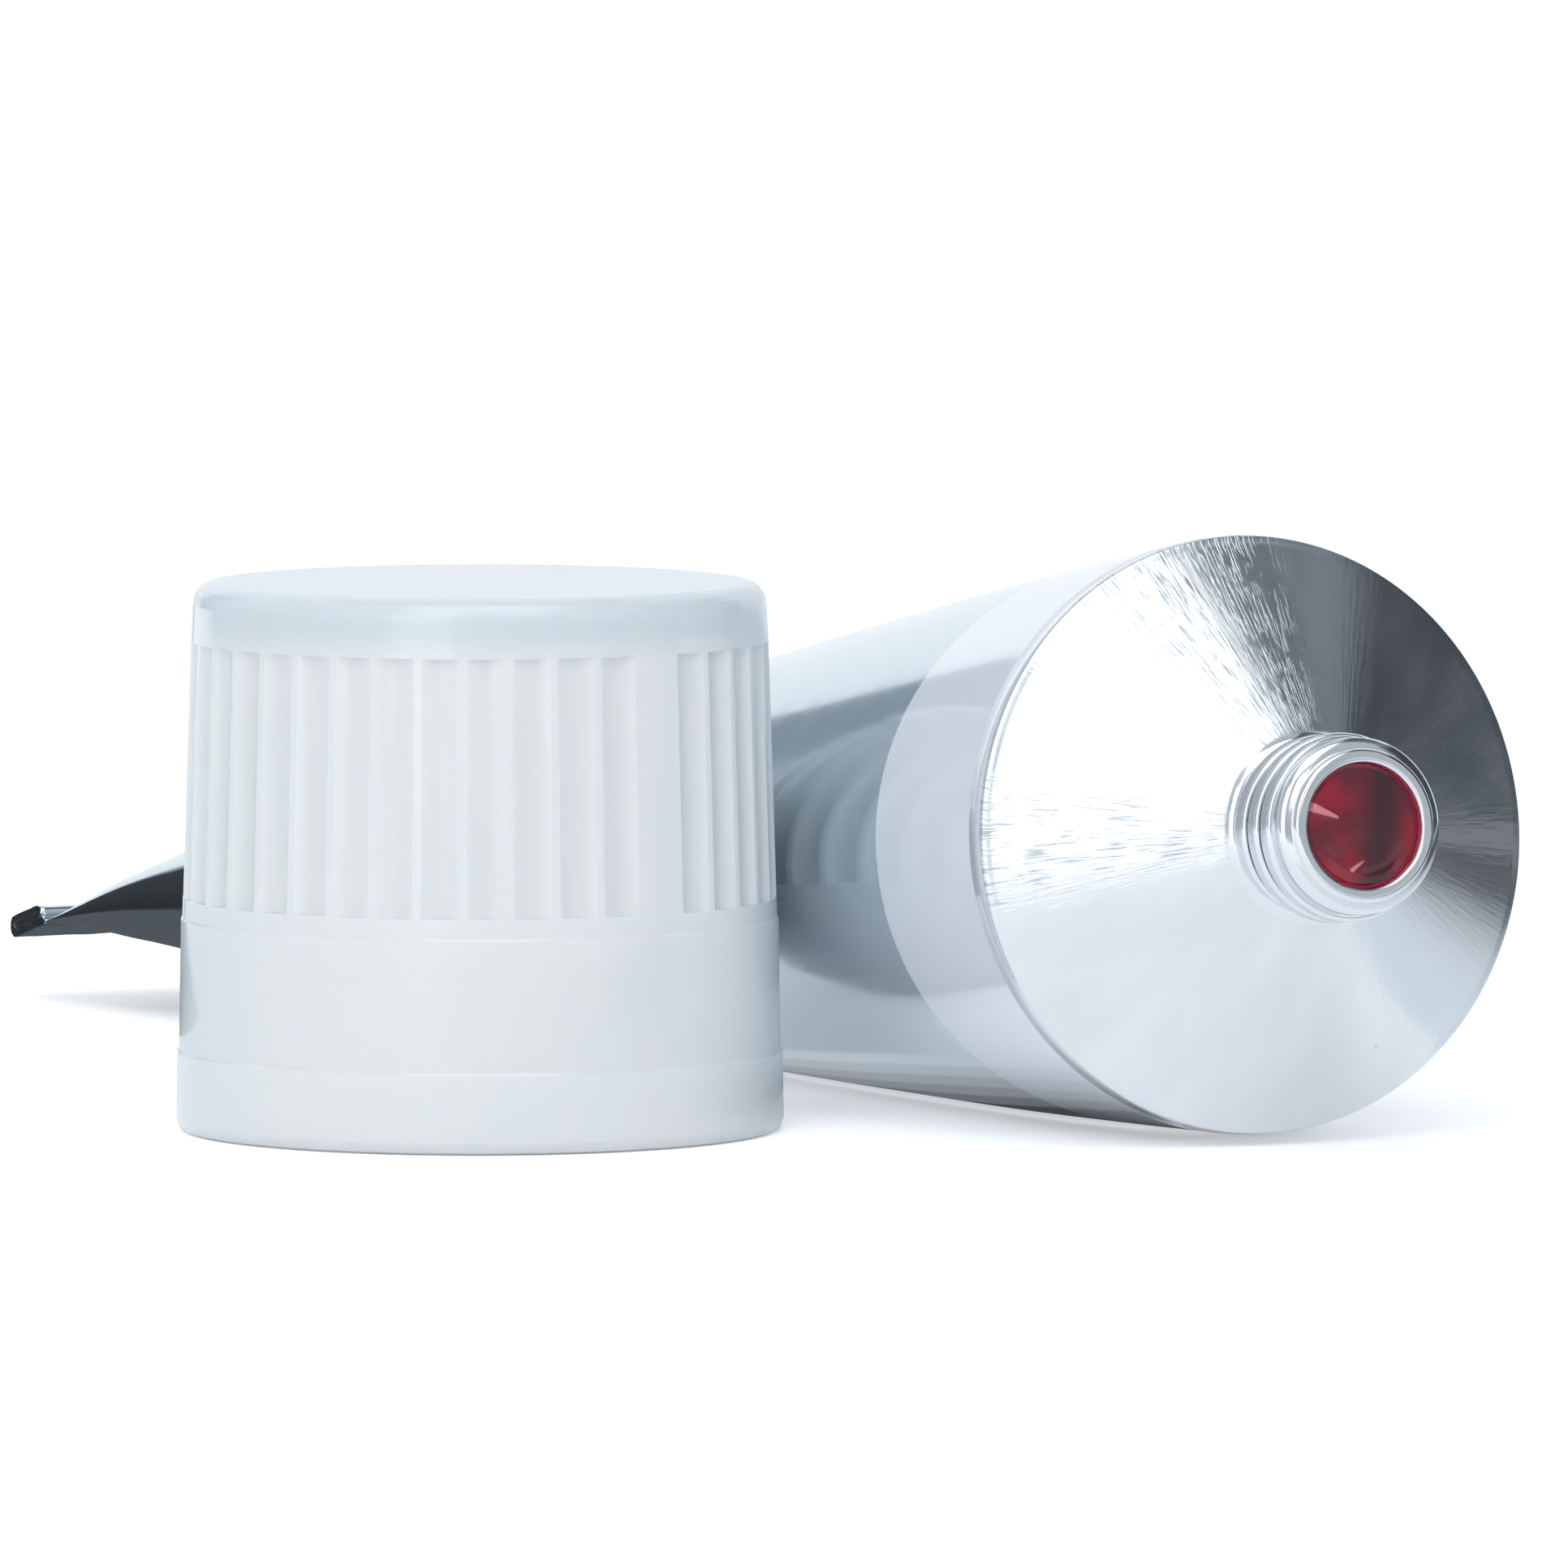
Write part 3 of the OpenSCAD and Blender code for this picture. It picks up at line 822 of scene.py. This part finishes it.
def card(name, way, distance, width, height, shades, turn=(0.0, 1.0), axis=1, tone=CARD_BLUE):
    """A grey card that only shows in shiny surfaces, in a direction given as for aim.

    Its two shades meet in a soft turn along one of its axes.
    """
    mesh = bpy.data.meshes.new(name)
    w, h = width / 2, height / 2
    mesh.from_pydata([(-w, -h, 0), (w, -h, 0), (w, h, 0), (-w, h, 0)], [], [(0, 1, 2, 3)])
    obj = link(name, mesh)
    aim(obj, way, distance)
    m = Nodes(name)
    m.set(Base_Color=BLACK, Roughness=1.0, Specular_IOR_Level=0.0, Emission_Color=tone)
    if shades[0] == shades[1]:
        m.set(Emission_Strength=shades[0])
    else:
        along = m.split(m.coord())[axis]
        m.set(Emission_Strength=m.ramp(along, turn[0], turn[1], shades[0], shades[1]))
    mesh.materials.append(m.mat)
    only_in_shine(obj)


def flag(name, corners, shade, left_shade=None, left=0.0, right=1.0):
    """A grey card by the metal, unseen by the camera, from its corners: right, away and up in metres."""
    mesh = bpy.data.meshes.new(name)
    mesh.from_pydata([RIGHT * r + AWAY * a + UP * u for r, a, u in corners], [], [(0, 1, 2, 3)])
    obj = link(name, mesh)
    m = Nodes(name)
    m.set(Base_Color=BLACK, Roughness=1.0, Specular_IOR_Level=0.0, Emission_Color=CARD_COOL)
    if left_shade is None:
        m.set(Emission_Strength=shade)
    else:
        across = m.add("ShaderNodeVectorMath", operation="DOT_PRODUCT")
        m.link(m.coord(), across.inputs[0])
        across.inputs[1].default_value = RIGHT
        m.set(Emission_Strength=m.ramp(across.outputs["Value"], left, right, left_shade, shade))
    mesh.materials.append(m.mat)
    only_in_shine(obj)


def on_table(left, right, near, far):
    """Corners of a card that lies on the table."""
    return [(left, near, FLAG_Z), (right, near, FLAG_Z), (right, far, FLAG_Z), (left, far, FLAG_Z)]


def upright(near_end, far_end, height):
    """Corners of a card that stands on the table."""
    (r0, a0), (r1, a1) = near_end, far_end
    return [(r0, a0, 0.0), (r1, a1, 0.0), (r1, a1, height), (r0, a0, height)]


def under_belly(inset, height):
    """Corners of a strip of table under the body, from millimetres on the shared frame's X and Y."""
    tail_end, rim_end, far_side = -26, 50, 21
    points = ((tail_end, inset), (rim_end, inset), (rim_end, far_side), (tail_end, far_side))
    corners = [Vector((x, y, 0.0)) * MM for x, y in points]
    return [(p.dot(RIGHT), p.dot(AWAY), height) for p in corners]


table()
softbox("key", (0.02, 0.86, 0.50), 1.2, 0.86, 0.80, 1.83)
softbox("front_left", (-0.36, 0.36, 0.88), 1.3, 0.60, 0.98, 1.55)
softbox("front_right", (0.30, 0.42, 0.86), 1.3, 0.30, 0.40, 1.4)
# These two light the edges from behind and would be hard spots in the metal, so shiny surfaces miss them
for name, side, glow in (("behind_left", -0.60, 5.0), ("behind", -0.15, 3.5)):
    softbox(name, (side, 0.36, -0.85), 1.2, 0.50, 0.40, glow).visible_glossy = False
card("card_right", (0.90, 0.30, -0.24), 0.9, 0.90, 0.85, (0.09, 0.045), (-0.42, 0.42))
card("card_top_right", (0.52, 0.85, -0.10), 0.9, 0.55, 0.45, (0.20, 0.09), (-0.22, 0.22))
card("card_left", (-0.728, 0.20, -0.656), 1.0, 0.61, 0.80, (0.33, 0.62), (-0.10, 0.07), 0)
card("card_behind", (0.0, 0.55, -0.84), 2.2, 7.0, 2.9, (1.0, 1.0), tone=CARD_WHITE)
flag("table_card_right", on_table(0.055, 0.50, -0.15, 0.45), 0.10, 0.85, 0.057, 0.14)
flag("table_card_tail", on_table(-0.09, -0.018, 0.022, 0.11), 0.10)
# Dark cards under the body, seen only in shiny surfaces, put painted shade of the table into the metal:
# darker in steps towards the line where the tube touches it
for k, shade in enumerate((0.62, 0.50, 0.38, 0.27, 0.16, 0.06)):
    strip = under_belly(2.0 + 1.2 * k, 0.0002 + 0.00005 * k)
    flag("belly_painted_shade_card_%d" % (k + 1), strip, shade)
flag("card_tail", upright((-0.046, 0.036), (-0.080, 0.13), 0.034), 0.015)

world = bpy.data.worlds.new("studio")
bpy.context.scene.world = world
world.use_nodes = True
sky = world.node_tree.nodes["Background"]
sky.inputs["Color"].default_value = SKY_PALE
sky.inputs["Strength"].default_value = 0.55
bpy.context.scene.view_settings.view_transform = "Standard"
